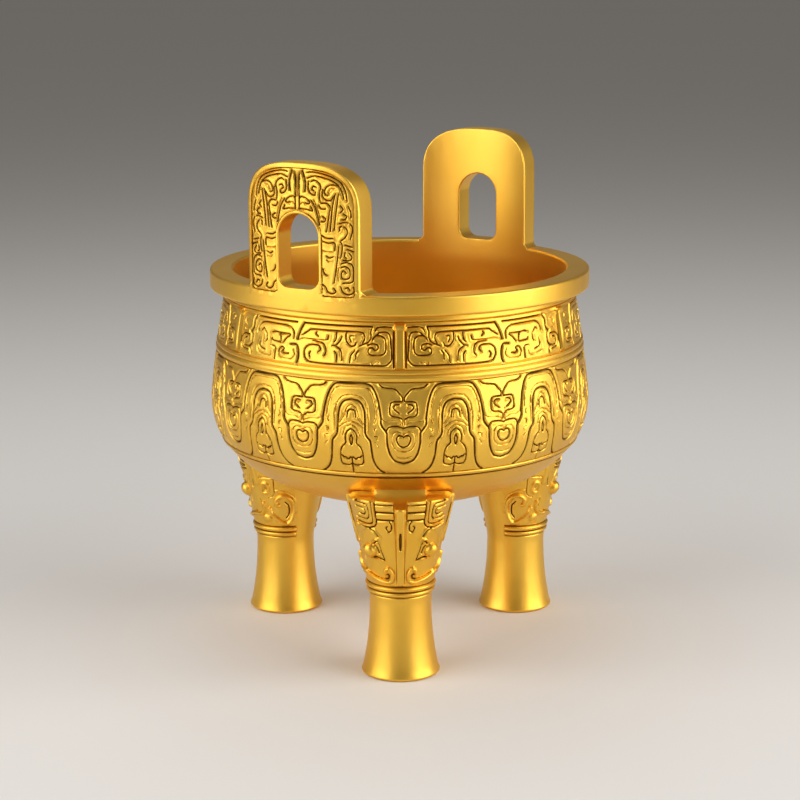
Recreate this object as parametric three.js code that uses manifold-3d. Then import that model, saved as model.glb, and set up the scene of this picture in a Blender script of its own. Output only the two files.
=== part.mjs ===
import * as THREE from 'three';
import { mergeVertices } from 'three/addons/utils/BufferGeometryUtils.js';
import Module from 'manifold-3d';

// A small ding: a round cast brass bowl on three legs, with two upright handles standing on its rim.
// Millimetres, +Z up. The origin is on the floor under the bowl's axis. The handles stand over +X and -X,
// and one of the three legs stands out along -Y.

// Bowl
const bowlBottom = 41;
const bellyRise = 29.5;
const neckRise = 31.7;
const neckRadius = 49.7;
const bellySwell = 4.5;
const lowerFullness = 2.27;
const upperEase = 1.25;
const bellyWall = 3.5;
const neckWall = 2.2;
const floorThickness = 4;

// Rim
const rimThickness = 5.4;
const rimOverhang = 4.3;
const rimChamfer = 0.7;

// Bands of ornament round the bowl, from the rim down
const collarDrop = 2;
const dragonDrop = 3.2;
const dragonHeight = 10.8;
const stripGap = 0.6;
const stripHeight = 3.4;
const stripProud = 0.3;
const waveHeight = 25;
const wavePeriods = 12;
const ribbonProud = 0.4;
const beadHeight = 1.4;
const beadProud = 0.4;

// Engraved lines
const grooveWidth = 0.75;
const grooveDepth = 0.45;

// Flanges between the dragon panels
const panelCount = 6;
const flangeWidth = 2.6;
const flangeProud = 0.8;
const flangeCapWidth = 3.4;
const flangeCapHeight = 1.8;
const flangeCapProud = 1.1;

// Handles
const handleHeight = 34.4;
const handleWidth = 34.7;
const handleArchRise = 14.2;
const handleFullness = 2.9;
const postWidth = 11.15;
const archThickness = 13.4;
const sillHeight = 1.1;
const sillRound = 3;
const handleBorder = 1.4;
const windowBorder = 1.15;
const panelLift = 0.8;

// Legs
const legCount = 3;
const legInset = 14;
const footRadius = 10.87;
const footChamfer = 0.9;
const waistRadius = 8.5;
const waistHeight = 21.6;
const footFlare = 2.2;

// Double ring below each mask
const ringRise = 3.3;
const ringWidth = 2.6;
const ringProud = 0.55;
const ringHalfAngle = 139;

// Mask on each leg
const maskClimb = 10.5;
const maskRadius = 14.7;
const maskFlare = 1.15;
const ridgeWidth = 2.1;
const ridgeProud = 0.7;
const eyeRadius = 1.9;
const eyeAngle = 40;
const eyeRise = 0.45;
const eyeSink = 0.3;
const scrollWidth = 0.75;
const scrollProud = 0.5;

// How far roots and cutters run past what they join or cut
const overlap = 1;
const cutLift = 0.35;

// Facets
const bowlFacets = 40;
const cavityFacets = 30;
const legFacets = 16;
const archFacets = 10;
const windowFacets = 6;

// Places that follow from the sizes above
const bellyRadius = neckRadius + bellySwell;
const rimRadius = neckRadius + rimOverhang;
const openingRadius = neckRadius - neckWall;
const bellyHeight = bowlBottom + bellyRise;
const rimBottom = bellyHeight + neckRise;
const rimTop = rimBottom + rimThickness;
const dragonTop = rimBottom - dragonDrop;
const dragonBottom = dragonTop - dragonHeight;
const stripTop = dragonBottom - stripGap;
const waveTop = stripTop - stripHeight;
const waveBottom = waveTop - waveHeight;
const beadBottom = waveBottom - beadHeight;
const handleTop = rimTop + handleHeight;
const handleShoulder = handleTop - handleArchRise;
const windowHalf = handleWidth / 2 - postWidth;
const windowTop = handleTop - archThickness;
const windowSill = rimTop + sillHeight;
const legCircle = bellyRadius - legInset;
const ringHeight = waistHeight + ringRise;
const maskBottom = ringHeight + ringWidth / 2;
const maskTop = bowlBottom + maskClimb;

const perDegree = Math.PI / 180;
const firstAngle = -90;
const up = new THREE.Vector3(0, 0, 1);
const wasm = await Module();
wasm.setup();

// From closed geometry to a solid and back

function toSolid(geometry) {
  const bare = geometry.index ? geometry.toNonIndexed() : geometry.clone();
  bare.deleteAttribute('normal');
  bare.deleteAttribute('uv');
  const merged = mergeVertices(bare, 1e-4);
  return new wasm.Manifold(new wasm.Mesh({
    numProp: 3,
    vertProperties: new Float32Array(merged.attributes.position.array),
    triVerts: new Uint32Array(merged.index.array),
  }));
}

function join(solids) {
  return solids.reduce((whole, solid) => whole.add(solid));
}

function toGeometry(solid) {
  const mesh = solid.getMesh();
  const geometry = new THREE.BufferGeometry();
  geometry.setAttribute('position', new THREE.BufferAttribute(mesh.vertProperties, 3));
  geometry.setIndex(new THREE.BufferAttribute(mesh.triVerts, 1));
  geometry.computeVertexNormals();
  return geometry;
}

function turned(profile, facets) {
  const points = profile.map(([radius, height]) => new THREE.Vector2(radius, height));
  return new THREE.LatheGeometry(points, facets).rotateX(Math.PI / 2);
}

// Radii of the bowl, its cavity and a leg at a height

function shellRadius(height, belly, neck, bottom) {
  if (height < bellyHeight) {
    const drop = Math.min(1, (bellyHeight - height) / (bellyHeight - bottom));
    return belly * (1 - drop ** lowerFullness) ** (1 / lowerFullness);
  }
  const rise = Math.min(1, (height - bellyHeight) / neckRise);
  return belly - (belly - neck) * rise ** upperEase;
}

function bowlRadius(height) {
  return shellRadius(height, bellyRadius, neckRadius, bowlBottom);
}

function cavityRadius(height) {
  return shellRadius(height, bellyRadius - bellyWall, openingRadius, bowlBottom + floorThickness);
}

function legRadius(height) {
  if (height < waistHeight) {
    const drop = (waistHeight - height) / waistHeight;
    return waistRadius + (footRadius - waistRadius) * drop ** footFlare;
  }
  const rise = (height - waistHeight) / (maskTop - waistHeight);
  return waistRadius + (maskRadius - waistRadius) * rise ** maskFlare;
}

// Surfaces that ornament lies on. Each places a point from its distance along the surface, its height and
// how proud of the surface it stands.

function onBowl(degrees, height, proud) {
  const radius = bowlRadius(height) + proud;
  const angle = degrees * perDegree;
  return new THREE.Vector3(radius * Math.cos(angle), radius * Math.sin(angle), height);
}

function legCentre(legAngle) {
  return new THREE.Vector3(legCircle, 0, 0).applyAxisAngle(up, legAngle * perDegree);
}

function onLeg(legAngle) {
  return (degrees, height, proud) => {
    const radius = legRadius(height) + proud;
    const angle = (legAngle + degrees) * perDegree;
    const offset = new THREE.Vector3(radius * Math.cos(angle), radius * Math.sin(angle), height);
    return offset.add(legCentre(legAngle));
  };
}

function onHandle(side) {
  return (along, height, proud) => {
    const radius = rimRadius + proud;
    return new THREE.Vector3(side * Math.sqrt(radius * radius - along * along), side * along, height);
  };
}

// A solid that runs through stations, each a list of as many corners. Seen against the way it runs, the
// corners go round counter-clockwise. Its ends are closed by a fan from their first corner.

function loft(stations, closed = false) {
  const count = stations.length;
  const sides = stations[0].length;
  const positions = [];
  const addTriangle = (a, b, c) => positions.push(...a, ...b, ...c);
  const last = closed ? count : count - 1;
  for (let step = 0; step < last; step += 1) {
    const here = stations[step];
    const next = stations[(step + 1) % count];
    for (let side = 0; side < sides; side += 1) {
      const other = (side + 1) % sides;
      addTriangle(here[side], here[other], next[other]);
      addTriangle(here[side], next[other], next[side]);
    }
  }
  if (!closed) {
    const start = stations[0];
    const end = stations[count - 1];
    for (let side = 1; side < sides - 1; side += 1) {
      addTriangle(start[0], start[side + 1], start[side]);
      addTriangle(end[0], end[side], end[side + 1]);
    }
  }
  const geometry = new THREE.BufferGeometry();
  geometry.setAttribute('position', new THREE.Float32BufferAttribute(positions, 3));
  return toSolid(geometry);
}

// A strip swept along a line on a surface. Its section is a list of corners, each the distance to the
// line's left and the height above the surface. unit is how many millimetres one step along is.

function sweep(line, place, unit, section, closed = false) {
  const count = line.length;
  const flat = line.map(([along, height]) => new THREE.Vector2(along * unit, height));
  const stations = flat.map((point, index) => {
    const before = flat[closed ? (index + count - 1) % count : Math.max(index - 1, 0)];
    const after = flat[closed ? (index + 1) % count : Math.min(index + 1, count - 1)];
    const back = point.clone().sub(before).normalize();
    const ahead = after.clone().sub(point).normalize();
    const direction = back.clone().add(ahead).normalize();
    const mitre = 1 / Math.max(0.5, direction.dot(index > 0 || closed ? back : ahead));
    return section.map(([left, proud]) => {
      const along = point.x - direction.y * left * mitre;
      const height = point.y + direction.x * left * mitre;
      return place(along / unit, height, proud);
    });
  });
  return loft(stations, closed);
}

// A flat-topped pad on a surface, with its outline given counter-clockwise

function pad(outline, place, proud) {
  const sunk = outline.map(([along, height]) => place(along, height, -overlap));
  const raised = outline.map(([along, height]) => place(along, height, proud));
  return loft([sunk, raised]);
}

function grooveSection() {
  const spread = grooveWidth / 2 * (1 + cutLift / grooveDepth);
  return [[-spread, cutLift], [0, -grooveDepth], [spread, cutLift]];
}

function barSection(width, proud) {
  return [[-width / 2, -overlap], [width / 2, -overlap], [width / 2, proud], [-width / 2, proud]];
}

// A line given as shares of a tile, across from -1 to 1 and up from 0 to 1, laid out at the tile's place

function tileLine(points, tile) {
  return points.map(([across, rise]) => [
    tile.centre + tile.hand * across * tile.reach,
    tile.bottom + rise * tile.height,
  ]);
}

// Points of an arc, from one angle to another in degrees

function arc(centre, radius, from, to, steps) {
  return Array.from({ length: steps + 1 }, (_, step) => {
    const angle = (from + (to - from) * step / steps) * perDegree;
    return [centre[0] + radius * Math.cos(angle), centre[1] + radius * Math.sin(angle)];
  });
}

// Bowl and rim

function onProfile(heights, proud = 0) {
  return heights.map((height) => [bowlRadius(height) + proud, height]);
}

function curvedBottom(radiusAt, bottom, top, steps) {
  const share = (bellyHeight - top) / (bellyHeight - bottom);
  const start = Math.acos(share ** (lowerFullness / 2));
  const points = [[0, bottom]];
  for (let step = 1; step <= steps; step += 1) {
    const lift = Math.cos(start * step / steps) ** (2 / lowerFullness);
    const height = bellyHeight - (bellyHeight - bottom) * lift;
    points.push([radiusAt(height), height]);
  }
  return points;
}

function outerBowl() {
  const collar = rimBottom - collarDrop;
  const half = grooveWidth / 2;
  const third = waveHeight / 3;
  return toSolid(turned([
    ...curvedBottom(bowlRadius, bowlBottom, beadBottom, 4),
    ...onProfile([(beadBottom + waveBottom) / 2], beadProud),
    ...onProfile([waveBottom, waveBottom + third, waveTop - third, waveTop]),
    ...onProfile([waveTop + stripProud, stripTop - stripProud], stripProud),
    ...onProfile([stripTop, collar - half]),
    ...onProfile([collar], -grooveDepth),
    ...onProfile([collar + half, rimBottom]),
    [rimRadius, rimBottom],
    [rimRadius, rimTop - rimChamfer],
    [rimRadius - rimChamfer, rimTop],
    [0, rimTop],
  ], bowlFacets));
}

function cavity() {
  return toSolid(turned([
    ...curvedBottom(cavityRadius, bowlBottom + floorThickness, bellyHeight, 4),
    [openingRadius, rimBottom],
    [openingRadius, rimTop + overlap],
    [0, rimTop + overlap],
  ], cavityFacets));
}

// Wave band: a broad ribbon that winds between a crest and a trough in each period, with a tongue inside
// each crest and a heart inside each trough. The ribbon's edges run from the middle of a crest, at 0, to
// the middle of a trough, at 1.

const ribbonUpper = [[0, 0.96], [0.46, 0.93], [0.57, 0.6], [0.69, 0.43], [0.78, 0.18], [1, 0.13]];
const ribbonLower = [[0, 0.82], [0.2, 0.76], [0.26, 0.5], [0.36, 0.37], [0.52, 0.05], [1, 0.03]];
const tongue = [[0, 0.26], [0.13, 0.4], [0, 0.56], [-0.13, 0.4]];
const heart = [[0, 0.2], [0.22, 0.45], [0, 0.42], [-0.22, 0.45]];

function waveTile(centre) {
  return { centre, reach: 180 / wavePeriods, hand: 1, bottom: waveBottom, height: waveHeight };
}

function waveRibbon() {
  const steps = ribbonUpper.length - 1;
  const stations = [];
  for (let period = 0; period < wavePeriods; period += 1) {
    const crest = waveTile(firstAngle + (period + 0.5) * 360 / wavePeriods);
    for (let step = -steps; step < steps; step += 1) {
      const tile = { ...crest, hand: Math.sign(step) };
      const [upper, lower] = tileLine([ribbonUpper[Math.abs(step)], ribbonLower[Math.abs(step)]], tile);
      stations.push([
        onBowl(...lower, ribbonProud),
        onBowl(...lower, -overlap),
        onBowl(...upper, -overlap),
        onBowl(...upper, ribbonProud),
      ]);
    }
  }
  return loft(stations, true);
}

function waveMotifs() {
  const motifs = [];
  for (let period = 0; period < wavePeriods; period += 1) {
    const trough = waveTile(firstAngle + period * 360 / wavePeriods);
    const crest = waveTile(trough.centre + trough.reach);
    motifs.push(pad(tileLine(heart, trough), onBowl, ribbonProud));
    motifs.push(pad(tileLine(tongue, crest), onBowl, ribbonProud));
  }
  return motifs;
}

// Dragon band: flanges, and between each two of them a dragon. Tails meet at the flanges over the legs and
// heads at the flanges between the legs.

const dragonBody = [[-0.85, 0.25], [-0.85, 0.78], [-0.5, 0.8], [-0.1, 0.78], [-0.1, 0.3], [-0.4, 0.3]];
const dragonHead = [[0.15, 0.8], [0.42, 0.82], [0.66, 0.75], [0.66, 0.25], [0.35, 0.25]];
const dragonCrest = [[0.86, 0.75], [0.84, 0.22]];

function dragonCuts() {
  const reach = 180 / panelCount;
  const unit = perDegree * bowlRadius(dragonBottom + dragonHeight / 2);
  const cuts = [];
  for (let panel = 0; panel < panelCount; panel += 1) {
    const centre = firstAngle + (2 * panel + 1) * reach;
    const hand = panel % 2 === 0 ? 1 : -1;
    const tile = { centre, reach, hand, bottom: dragonBottom, height: dragonHeight };
    [dragonBody, dragonHead, dragonCrest].forEach((points) => {
      cuts.push(sweep(tileLine(points, tile), onBowl, unit, grooveSection()));
    });
  }
  return cuts;
}

function flanges() {
  const unit = perDegree * bowlRadius(dragonTop);
  const bars = [];
  for (let panel = 0; panel < panelCount; panel += 1) {
    const angle = firstAngle + panel * 360 / panelCount;
    const blade = [[angle, dragonBottom], [angle, dragonTop]];
    const top = [[angle, dragonTop - flangeCapHeight], [angle, dragonTop]];
    bars.push(sweep(blade, onBowl, unit, barSection(flangeWidth, flangeProud)));
    bars.push(sweep(top, onBowl, unit, barSection(flangeCapWidth, flangeCapProud)));
  }
  return bars;
}

// Handles: upright plates that follow the rim's curve, arched above, with a window in the middle

function handleArch(inset, steps) {
  const half = handleWidth / 2 - inset;
  const rise = handleArchRise - inset;
  return arc([0, 0], 1, 0, 180, steps).map(([across, lift]) => [
    half * Math.sign(across) * Math.abs(across) ** (2 / handleFullness),
    handleShoulder + rise * Math.max(0, lift) ** (2 / handleFullness),
  ]);
}

function windowArch(grow, steps) {
  return arc([0, windowTop - windowHalf], windowHalf + grow, 0, 180, steps);
}

function prism(outline, reach) {
  const shape = new THREE.Shape(outline.map(([along, height]) => new THREE.Vector2(along, height)));
  const geometry = new THREE.ExtrudeGeometry(shape, { depth: reach, bevelEnabled: false });
  return toSolid(geometry.rotateX(Math.PI / 2).rotateZ(Math.PI / 2));
}

function handle(side) {
  const reach = rimRadius + overlap;
  const root = rimBottom + overlap;
  const half = handleWidth / 2;
  const plate = prism([...handleArch(0, archFacets), [-half, root], [half, root]], reach);
  const sill = windowSill + sillRound;
  const cutOut = prism([
    ...windowArch(0, windowFacets),
    ...arc([sillRound - windowHalf, sill], sillRound, 180, 270, 2),
    ...arc([windowHalf - sillRound, sill], sillRound, 270, 360, 2),
  ], reach);
  const sleeve = toSolid(turned([
    [openingRadius, root - overlap],
    [rimRadius, root - overlap],
    [rimRadius, handleTop + overlap],
    [openingRadius, handleTop + overlap],
    [openingRadius, root - overlap],
  ], bowlFacets));
  return plate.subtract(cutOut).rotate([0, 0, side > 0 ? 0 : 180]).intersect(sleeve);
}

// The engraved panel on a handle's outer face: a frame that follows the handle's edge and its window, with
// a scroll on each post and a horn on each shoulder. Their lines run from the window to the outer edge.

const postScroll = [[0.2, 0.06], [0.8, 0.06], [0.75, 0.3], [0.25, 0.32], [0.4, 0.58]];
const shoulderHorn = [[-0.6, 0.75], [0.08, 0.85], [0.45, 0.73], [0.15, 0.65]];

function handleCuts(side) {
  const place = onHandle(side);
  const foot = rimTop + panelLift;
  const edge = handleWidth / 2 - handleBorder;
  const near = windowHalf + windowBorder;
  const frame = [
    [edge, foot],
    ...handleArch(handleBorder, archFacets - 2),
    [-edge, foot],
    [-near, foot],
    ...windowArch(windowBorder, windowFacets).reverse(),
    [near, foot],
  ];
  const cuts = [sweep(frame, place, 1, grooveSection(), true)];
  [1, -1].forEach((hand) => {
    [postScroll, shoulderHorn].forEach((points) => {
      const line = points.map(([across, rise]) => [
        hand * (near + across * (edge - near)),
        foot + rise * (handleTop - foot),
      ]);
      cuts.push(sweep(line, place, 1, grooveSection()));
    });
  });
  return cuts;
}

// Legs. The double ring runs round a leg's outer side and fades out on the side that faces the axis.

function leg(legAngle) {
  const quarter = ringWidth / 4;
  const ringHeights = [ringHeight - quarter, ringHeight + quarter];
  const onAxis = (height) => [legRadius(height), height];
  const middle = (ringHeight + maskTop) / 2;
  const geometry = turned([
    [0, 0],
    [footRadius - footChamfer, 0],
    [footRadius, footChamfer],
    ...[waistHeight / 4, waistHeight / 2, ringHeight - 2 * quarter].map(onAxis),
    ...ringHeights.map((height) => [legRadius(height) + ringProud, height]),
    ...[ringHeight + 2 * quarter, middle, maskTop].map(onAxis),
    [0, maskTop],
  ], legFacets);
  const position = geometry.attributes.position;
  const inward = Math.cos(ringHalfAngle * perDegree);
  for (let index = 0; index < position.count; index += 1) {
    const point = new THREE.Vector3().fromBufferAttribute(position, index);
    const radius = Math.hypot(point.x, point.y);
    const onRing = Math.abs(point.z - ringHeight) < 1.5 * quarter;
    if (onRing && point.x < inward * radius) {
      const shrink = legRadius(point.z) / radius;
      position.setXY(index, point.x * shrink, point.y * shrink);
    }
  }
  const centre = legCentre(legAngle);
  return toSolid(geometry.rotateZ(legAngle * perDegree).translate(centre.x, centre.y, 0));
}

// Mask: one half of it, in degrees from the leg's outward line and shares of the mask's height

const mouthScroll = [[78, 0.2], [50, 0.1], [18, 0.09], [12, 0.18]];
const lowerBar = [[9, 0.83], [28, 0.83]];
const upperBar = [[9, 0.92], [28, 0.92]];
const earFrame = [[32, 0.97], [34, 0.74], [60, 0.74]];
const cheekScroll = [[97, 0.2], [127, 0.08], [134, 0.2], [113, 0.39]];

function maskLine(points, hand) {
  return points.map(([angle, rise]) => [hand * angle, maskBottom + rise * (maskTop - maskBottom)]);
}

function maskBodies(legAngle) {
  const place = onLeg(legAngle);
  const unit = perDegree * legRadius((maskBottom + maskTop) / 2);
  const ridge = maskLine([[0, 0], [0, 1]], 1);
  const bodies = [sweep(ridge, place, unit, barSection(ridgeWidth, ridgeProud))];
  [1, -1].forEach((hand) => {
    const [[angle, height]] = maskLine([[eyeAngle, eyeRise]], hand);
    const eye = toSolid(new THREE.OctahedronGeometry(eyeRadius, 1));
    bodies.push(eye.translate(place(angle, height, -eyeSink).toArray()));
    bodies.push(sweep(maskLine(mouthScroll, hand), place, unit, barSection(scrollWidth, scrollProud)));
  });
  return bodies;
}

function maskCuts(legAngle) {
  const place = onLeg(legAngle);
  const unit = perDegree * legRadius((maskBottom + maskTop) / 2);
  const cuts = [];
  [1, -1].forEach((hand) => {
    [lowerBar, upperBar, earFrame, cheekScroll].forEach((points) => {
      cuts.push(sweep(maskLine(points, hand), place, unit, grooveSection()));
    });
  });
  return cuts;
}

// The whole casting

function casting() {
  const legAngles = Array.from({ length: legCount }, (_, index) => firstAngle + index * 360 / legCount);
  const bodies = [
    outerBowl(),
    ...legAngles.map(leg),
    ...legAngles.flatMap(maskBodies),
    ...flanges(),
    waveRibbon(),
    ...waveMotifs(),
  ];
  const cuts = [...dragonCuts(), ...legAngles.flatMap(maskCuts), cavity()];
  const vessel = join(bodies).subtract(join(cuts));
  const handles = [1, -1].map((side) => handle(side).subtract(join(handleCuts(side))));
  return vessel.add(join(handles));
}

const brass = new THREE.MeshStandardMaterial({ color: 0xd9a83a, roughness: 0.38, metalness: 1 });
const ding = new THREE.Mesh(toGeometry(casting()), brass);
ding.name = 'ding';

const vessel = new THREE.Group();
vessel.add(ding);

export default vessel;
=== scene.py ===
import math

import bpy
import numpy as np
from mathutils import Matrix, Vector


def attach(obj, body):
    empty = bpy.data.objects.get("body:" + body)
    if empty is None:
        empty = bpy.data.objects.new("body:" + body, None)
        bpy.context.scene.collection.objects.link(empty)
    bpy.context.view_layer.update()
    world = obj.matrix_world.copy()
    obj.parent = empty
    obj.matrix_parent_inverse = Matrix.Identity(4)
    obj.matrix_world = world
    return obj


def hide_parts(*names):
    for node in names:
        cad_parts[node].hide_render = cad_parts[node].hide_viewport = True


# A small cast brass ding, with its fine relief as one dense piece that stands for the CAD solid.
# Sizes are in millimetres and angles in degrees. An object is scaled to metres when it is made.

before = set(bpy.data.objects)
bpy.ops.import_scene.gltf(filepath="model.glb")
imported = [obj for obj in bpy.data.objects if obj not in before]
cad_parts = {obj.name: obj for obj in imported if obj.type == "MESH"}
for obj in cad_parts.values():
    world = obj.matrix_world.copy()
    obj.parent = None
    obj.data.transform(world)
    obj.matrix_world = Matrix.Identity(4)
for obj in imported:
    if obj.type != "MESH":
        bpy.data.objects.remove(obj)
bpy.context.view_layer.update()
METRES = 0.001

# Bowl and rim, as in the CAD
BOWL_BOTTOM = 41.0
BELLY_HEIGHT = 70.5
BELLY_RADIUS = 54.2
NECK_RADIUS = 49.7
LOWER_FULLNESS = 2.27
UPPER_EASE = 1.25
BELLY_WALL = 3.5
FLOOR_THICKNESS = 4.0
RIM_RADIUS = 54.0
RIM_BOTTOM = 102.2
RIM_TOP = 107.6
RIM_ROUND = 0.7
OPENING_RADIUS = 47.5
OPENING_ROUND_START = 15.0

# Bands round the bowl
COLLAR_GROOVES = (101.8, 100.2)
DRAGON_TOP = 98.9
DRAGON_BOTTOM = 87.7
STRIP_ROLLS = (86.95, 85.55)
STRIP_ROLL_HEIGHT = 1.3
STRIP_PROUD = 0.32
WAVE_TOP = 84.3
WAVE_BOTTOM = 59.2
WAVE_PERIODS = 12
WAVE_TURN = 1.0
BEAD_BOTTOM = 57.8
BEAD_PROUD = 0.35
BEAD_FLAT = 0.3
BAND_MARGIN = 1.0

# Flanges
FRONT_FLANGE = -90.0
FLANGE_COUNT = 6
FLANGE_WIDTH = 2.6
FLANGE_PROUD = 0.8
FLANGE_BOTTOM = 88.0
FLANGE_TOP = 99.8
FLANGE_EDGE = 0.3
FLANGE_CAP_WIDTH = 2.9
FLANGE_CAP_HEIGHT = 1.8
FLANGE_CAP_PROUD = 1.0
FLANGE_CAP_EDGE = 0.25

# Engraving. The reach of a groove and the place and spread of its lip are shares of its width.
GROOVE = 0.52
THIN = 0.34
BROAD = 0.78
GROOVE_DEPTH = 0.45
GROOVE_REACH = 0.62
LIP_HEIGHT = 0.11
LIP_PLACE = 0.9
LIP_SPREAD = 0.3

# Handles
HANDLE_WIDTH = 34.7
HANDLE_TOP = 142.0
HANDLE_RISE = 14.2
HANDLE_FULLNESS = 2.9
HANDLE_ROUND = 0.4
HANDLE_INNER = 47.48
HANDLE_OUTER = 54.02
HANDLE_ROOT = 104.2
HANDLE_FILLET = 1.5
WINDOW_HALF = 6.2
WINDOW_TOP = 128.6
WINDOW_SILL = 108.7
WINDOW_CORNER = 3.0
HANDLE_BORDER = 1.4
WINDOW_BORDER = 0.9
PANEL_FOOT = 107.1
PANEL_CORNER = 0.9
PANEL_DEPTH = 0.3
PANEL_EDGE = 0.2
PANEL_GROOVE = 0.9

# Where a handle's foot is tucked into the rim, and the hollow that the rim leaves behind its face
HANDLE_TUCK = 0.8
FILLET_TUCK_START = -0.3
FILLET_TUCK_END = 0.4
POCKET_DEPTH = 1.5
POCKET_FOOT = 105.6
POCKET_SLOPE = 0.4
POCKET_INSET = 1.0
POCKET_EDGE = 0.6

# Legs
LEG_ANGLES = (-90.0, 30.0, 150.0)
LEG_CIRCLE = 40.2
FOOT_RADIUS = 10.87
FOOT_ROUND = 0.9
FOOT_CLEARANCE = 0.01
FOOT_FLARE = 2.2
WAIST_RADIUS = 8.5
WAIST_HEIGHT = 21.6
MASK_RADIUS = 14.7
MASK_TOP = 51.5
MASK_FLARE = 1.15
MASK_ROUND = 0.5

# Rings under a mask, and the grooves beside them
RING_HEIGHTS = (25.8, 24.3)
RING_HALF_HEIGHT = 0.75
RING_PROUD = 0.55
RING_HALF_ANGLE = 146.0
RING_END = 3.0
RING_LINES = (26.7, 25.05, 23.5)
RING_LINE_DEPTH = 0.7
RING_LINE_HALF = 0.35
RING_LINE_SIDE = 0.27

# Mask
RELIEF_FOOT = 26.9
RELIEF_EASE = 0.6
RIDGE_HALF_WIDTH = 1.35
RIDGE_SIDE = 0.6
RIDGE_PROUD = 0.75
EYE_ANGLE = 46.0
EYE_HEIGHT = 37.0
EYE_RADIUS = 2.1
EYE_PROUD = 1.9
RIB_ANGLE = 17.5
RIB_HALF_ANGLE = 11.0
RIB_END = 1.5
RIB_FOOT = 46.6
RIB_PROUD = 0.35

# Top of a leg, outward from its middle: ears, the dish between them and the rise to the bowl
DISH_HALF_WIDTH = 7.4
DISH_SIDE = 0.5
DISH_DEPTH = 1.3
DISH_RISE = 4.3
DISH_RISE_LENGTH = 1.5
FRONT_WALL = 1.6
FRONT_SLOPE = 1.0
FRONT_LIFT = 0.8
NOTCH_HALF_WIDTH = 1.9
NOTCH_SIDE = 0.4
NOTCH_DEPTH = 2.2
EAR_BOTTOM = 44.0
EAR_LIFT = 0.9
EAR_START = 5.0
EAR_END = 11.0
EAR_ROUND = 0.5
EAR_ROUND_WIDTH = 2.5
EAR_RISE = 1.2
EAR_RISE_LENGTH = 0.7
SHOULDER_DROP = 3.4
SHOULDER_START = -3.0
LEDGE_ROOT_RADIUS = 46.2

# Grids
BAND_STEP = 0.22
BOWL_COLUMNS = 1440
BOWL_FOOT_ROWS = 22
RIM_ROWS = 16
ROUND_ROWS = 6
RIM_INSIDE = 20
CAVITY_COLUMNS = 120
CAVITY_FOOT_ROWS = 18
CAVITY_WALL_ROWS = 20
CAVITY_ROUND_ROWS = 5
CAVITY_MARGIN = 1.0
LEG_COLUMNS = 360
SHAFT_STEP = 1.0
SHAFT_TOP = 22.8
FOOT_ROUND_ROWS = 5
LEG_TOP_ROWS = 40
LEG_TOP_MIDDLE = 0.1
HANDLE_FOOT_ROWS = 50
HANDLE_POST_ROWS = 120
HANDLE_HEAD_ROWS = 120
HANDLE_FACE_COLUMNS = 66
HANDLE_BACK_SKIP = 4
HANDLE_ROUND_COLUMNS = 4
BOWL_TRIANGLES = 107000
LEG_TRIANGLES = 15000
HANDLE_TRIANGLES = 17000
SHARP_ANGLE = 50.0

# Brass, and the dark colour in its grooves: partly the brass's own dark patina, partly painted shade
GOLD_DEEP = (0.85, 0.475, 0.055, 1)
GOLD_LIGHT = (0.91, 0.56, 0.085, 1)
GOLD_CLOUD = (0.3, 0.7)
CLOUD_SCALE = 45
CLOUD_DETAIL = 4
# Dark colour in the grooves: partly the brass's dark patina, partly painted shade.
PATINA_AND_SHADE_COLOUR = (0.065, 0.021, 0.003, 1)
PATINA_AND_SHADE_RECESS = (0.25, 0.7)
PATINA_AND_SHADE_STRENGTH = 0.95
METAL_ROUGHNESS = 0.39
PATINA_AND_SHADE_ROUGHNESS = 0.6
GRAIN_SCALE = 2600
GRAIN_DETAIL = 3
GRAIN_STRENGTH = 0.12
GRAIN_HEIGHT = 0.0001

# Studio, in metres and watts. A lamp has its distances to the camera's right, towards the camera
# and up, then its two sides and its power.
CAMERA_AZIMUTH = 30.0
CAMERA_DISTANCE = 0.625148
CAMERA_HEIGHT = 0.208212
CAMERA_PITCH = 12.652
CAMERA_ROLL = -0.176
CAMERA_LENS = 99.6
CAMERA_SENSOR = 36
CAMERA_NEAR = 0.01
LAMPS = {
    "key": ((-0.52, 0.30, 0.34), (0.65, 0.75), 3.7),
    "side": ((0.62, 0.24, 0.26), (0.75, 0.85), 6.4),
    "top": ((-0.1, -0.25, 0.65), (0.5, 0.4), 0.8),
}
LAMP_AIM = (0, 0, 0.07)
SKY_COLOUR = (0.80, 0.76, 0.71, 1)
SKY_STRENGTH = 0.22
FLOOR_SIZE = 12
FLOOR_COLOUR = (0.80, 0.775, 0.745, 1)
FLOOR_ROUGHNESS = 0.7


# Lines and distances

def curve(points, steps=5):
    """A smooth line through a few points."""
    points = np.array(points, float)
    ends = np.vstack([2 * points[0] - points[1], points, 2 * points[-1] - points[-2]])
    share = np.linspace(0, 1, steps, endpoint=False)[:, None]
    line = []
    for before, here, after, beyond in zip(ends, ends[1:], ends[2:], ends[3:]):
        line.append(0.5 * (
            2 * here
            + (after - before) * share
            + (2 * before - 5 * here + 4 * after - beyond) * share**2
            + (3 * here - before - 3 * after + beyond) * share**3
        ))
    return np.vstack([*line, points[-1:]])


def distance_to(line, across, height, scale):
    """Distance in millimetres from every place of a surface to a line on it."""
    nearest = np.full(np.broadcast(across, height).shape, np.inf)
    for start, end in zip(line[:-1], line[1:]):
        run = (end[0] - start[0]) * scale
        rise = end[1] - start[1]
        along = (across - start[0]) * scale
        above = height - start[1]
        share = np.clip((along * run + above * rise) / (run**2 + rise**2 + 1e-9), 0, 1)
        nearest = np.minimum(nearest, np.hypot(along - share * run, above - share * rise))
    return nearest


def ramp(value, low, high):
    """Smooth step from 0 at low to 1 at high."""
    share = np.clip((value - low) / (high - low), 0, 1)
    return share * share * (3 - 2 * share)


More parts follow.
